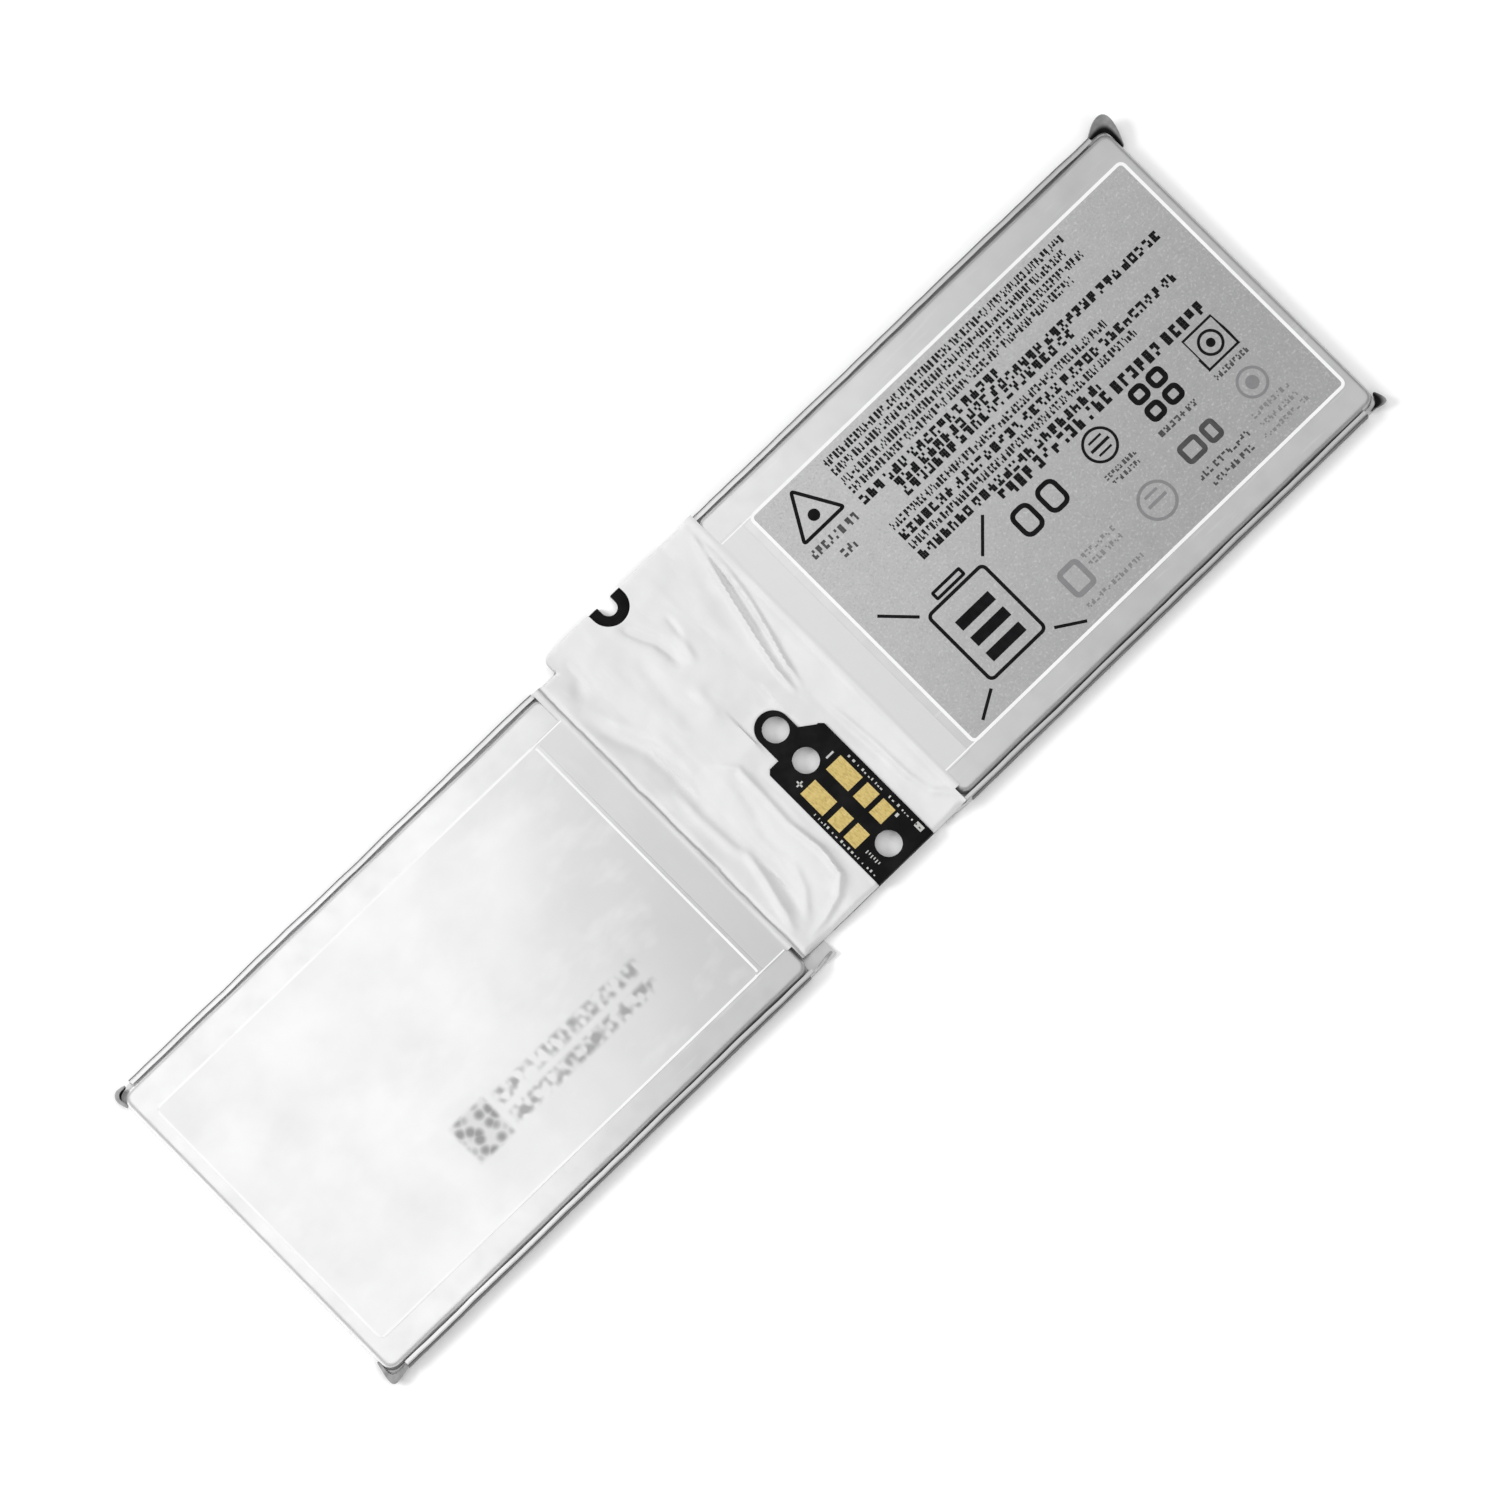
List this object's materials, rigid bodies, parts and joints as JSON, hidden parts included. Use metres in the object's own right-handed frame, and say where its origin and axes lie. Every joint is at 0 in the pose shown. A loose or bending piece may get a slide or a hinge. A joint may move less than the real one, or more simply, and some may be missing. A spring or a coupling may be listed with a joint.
{
  "type": "two-cell pouch battery pack",
  "caption": "Flat lithium-ion pouch cells side by side, joined by a film-wrapped board with bare contact pads and screw holes.",
  "frame": {"origin": "centre of the pack's footprint, on the surface it lies on", "axes": "+X from the plain cell to the labelled cell, along the pack; +Y across the cells, towards the board's notched edge; +Z out of the labelled face"},
  "size_m": [0.2324, 0.0702, 0.0028],
  "materials": {
    "pouch_laminate": "satin, dry aluminium laminate with a nylon face",
    "seam_tape": "thin clear-grey tape over the folded seam",
    "face_film": "pearly silver-white film, slightly rippled",
    "label_foil": "silver-grey label stock with fine speckle and black print",
    "white_film": "matte white polyester film, wrinkled",
    "black_solder_mask": "matte black solder mask on glass-epoxy",
    "gold_plating": "matte gold plating with fine drag lines",
    "solder": "bright solder",
    "nickel": "matte nickel strip",
    "aluminium_foil": "bare aluminium foil",
    "copper_foil": "bare copper foil",
    "cathode_coating": "matte black cathode coating on aluminium foil",
    "anode_coating": "dark grey graphite coating on copper foil",
    "separator_film": "white microporous film, wet with electrolyte",
    "stack_tape": "blue polyester tape",
    "tab_sealant": "dark polypropylene sealant",
    "chip_epoxy": "black moulded epoxy",
    "chip_ceramic": "fired ceramic body with tinned ends"
  },
  "bodies": {
    "board": {"main_board": "black_solder_mask", "contact_board": "black_solder_mask", "contact_pads": "gold_plating", "board_posts": "solder", "lower_film": "white_film", "upper_film": "white_film", "left_positive_link": "nickel", "left_negative_link": "nickel", "right_positive_link": "nickel", "right_negative_link": "nickel", "fuel_gauge_chip": "chip_epoxy", "protection_mosfets": "chip_epoxy", "sense_resistor": "chip_ceramic", "fuse": "chip_ceramic", "thermistor": "chip_ceramic", "chip_capacitors": "chip_ceramic"},
    "left_cell": {"left_pouch_cup": "pouch_laminate", "left_pouch_cover": "pouch_laminate", "left_seam_tapes": "seam_tape", "left_anode_sheets": "anode_coating", "left_cathode_sheets": "cathode_coating", "left_separator_sheets": "separator_film", "left_stack_tape": "stack_tape", "left_positive_foils": "aluminium_foil", "left_negative_foils": "copper_foil", "left_positive_tab": "aluminium_foil", "left_negative_tab": "nickel", "left_positive_tab_seal": "tab_sealant", "left_negative_tab_seal": "tab_sealant", "left_face_film": "face_film", "lower_film_left_wing": "white_film", "upper_film_left_wing": "white_film"},
    "right_cell": {"right_pouch_cup": "pouch_laminate", "right_pouch_cover": "pouch_laminate", "right_seam_tapes": "seam_tape", "right_anode_sheets": "anode_coating", "right_cathode_sheets": "cathode_coating", "right_separator_sheets": "separator_film", "right_stack_tape": "stack_tape", "right_positive_foils": "aluminium_foil", "right_negative_foils": "copper_foil", "right_positive_tab": "aluminium_foil", "right_negative_tab": "nickel", "right_positive_tab_seal": "tab_sealant", "right_negative_tab_seal": "tab_sealant", "right_label": "label_foil", "lower_film_right_wing": "white_film", "upper_film_right_wing": "white_film"}
  },
  "joints": [
    {"name": "left_tab_flex", "type": "hinge", "parent": "board", "child": "left_cell", "pos_m": [-0.0126, 0, 0.00095], "axis": [0, 1, 0], "range_deg": [-10, 10], "stiffness_Nm_per_rad": 0.15},
    {"name": "right_tab_flex", "type": "hinge", "parent": "board", "child": "right_cell", "pos_m": [0.0126, 0, 0.00095], "axis": [0, -1, 0], "range_deg": [-10, 10], "stiffness_Nm_per_rad": 0.15}
  ]
}
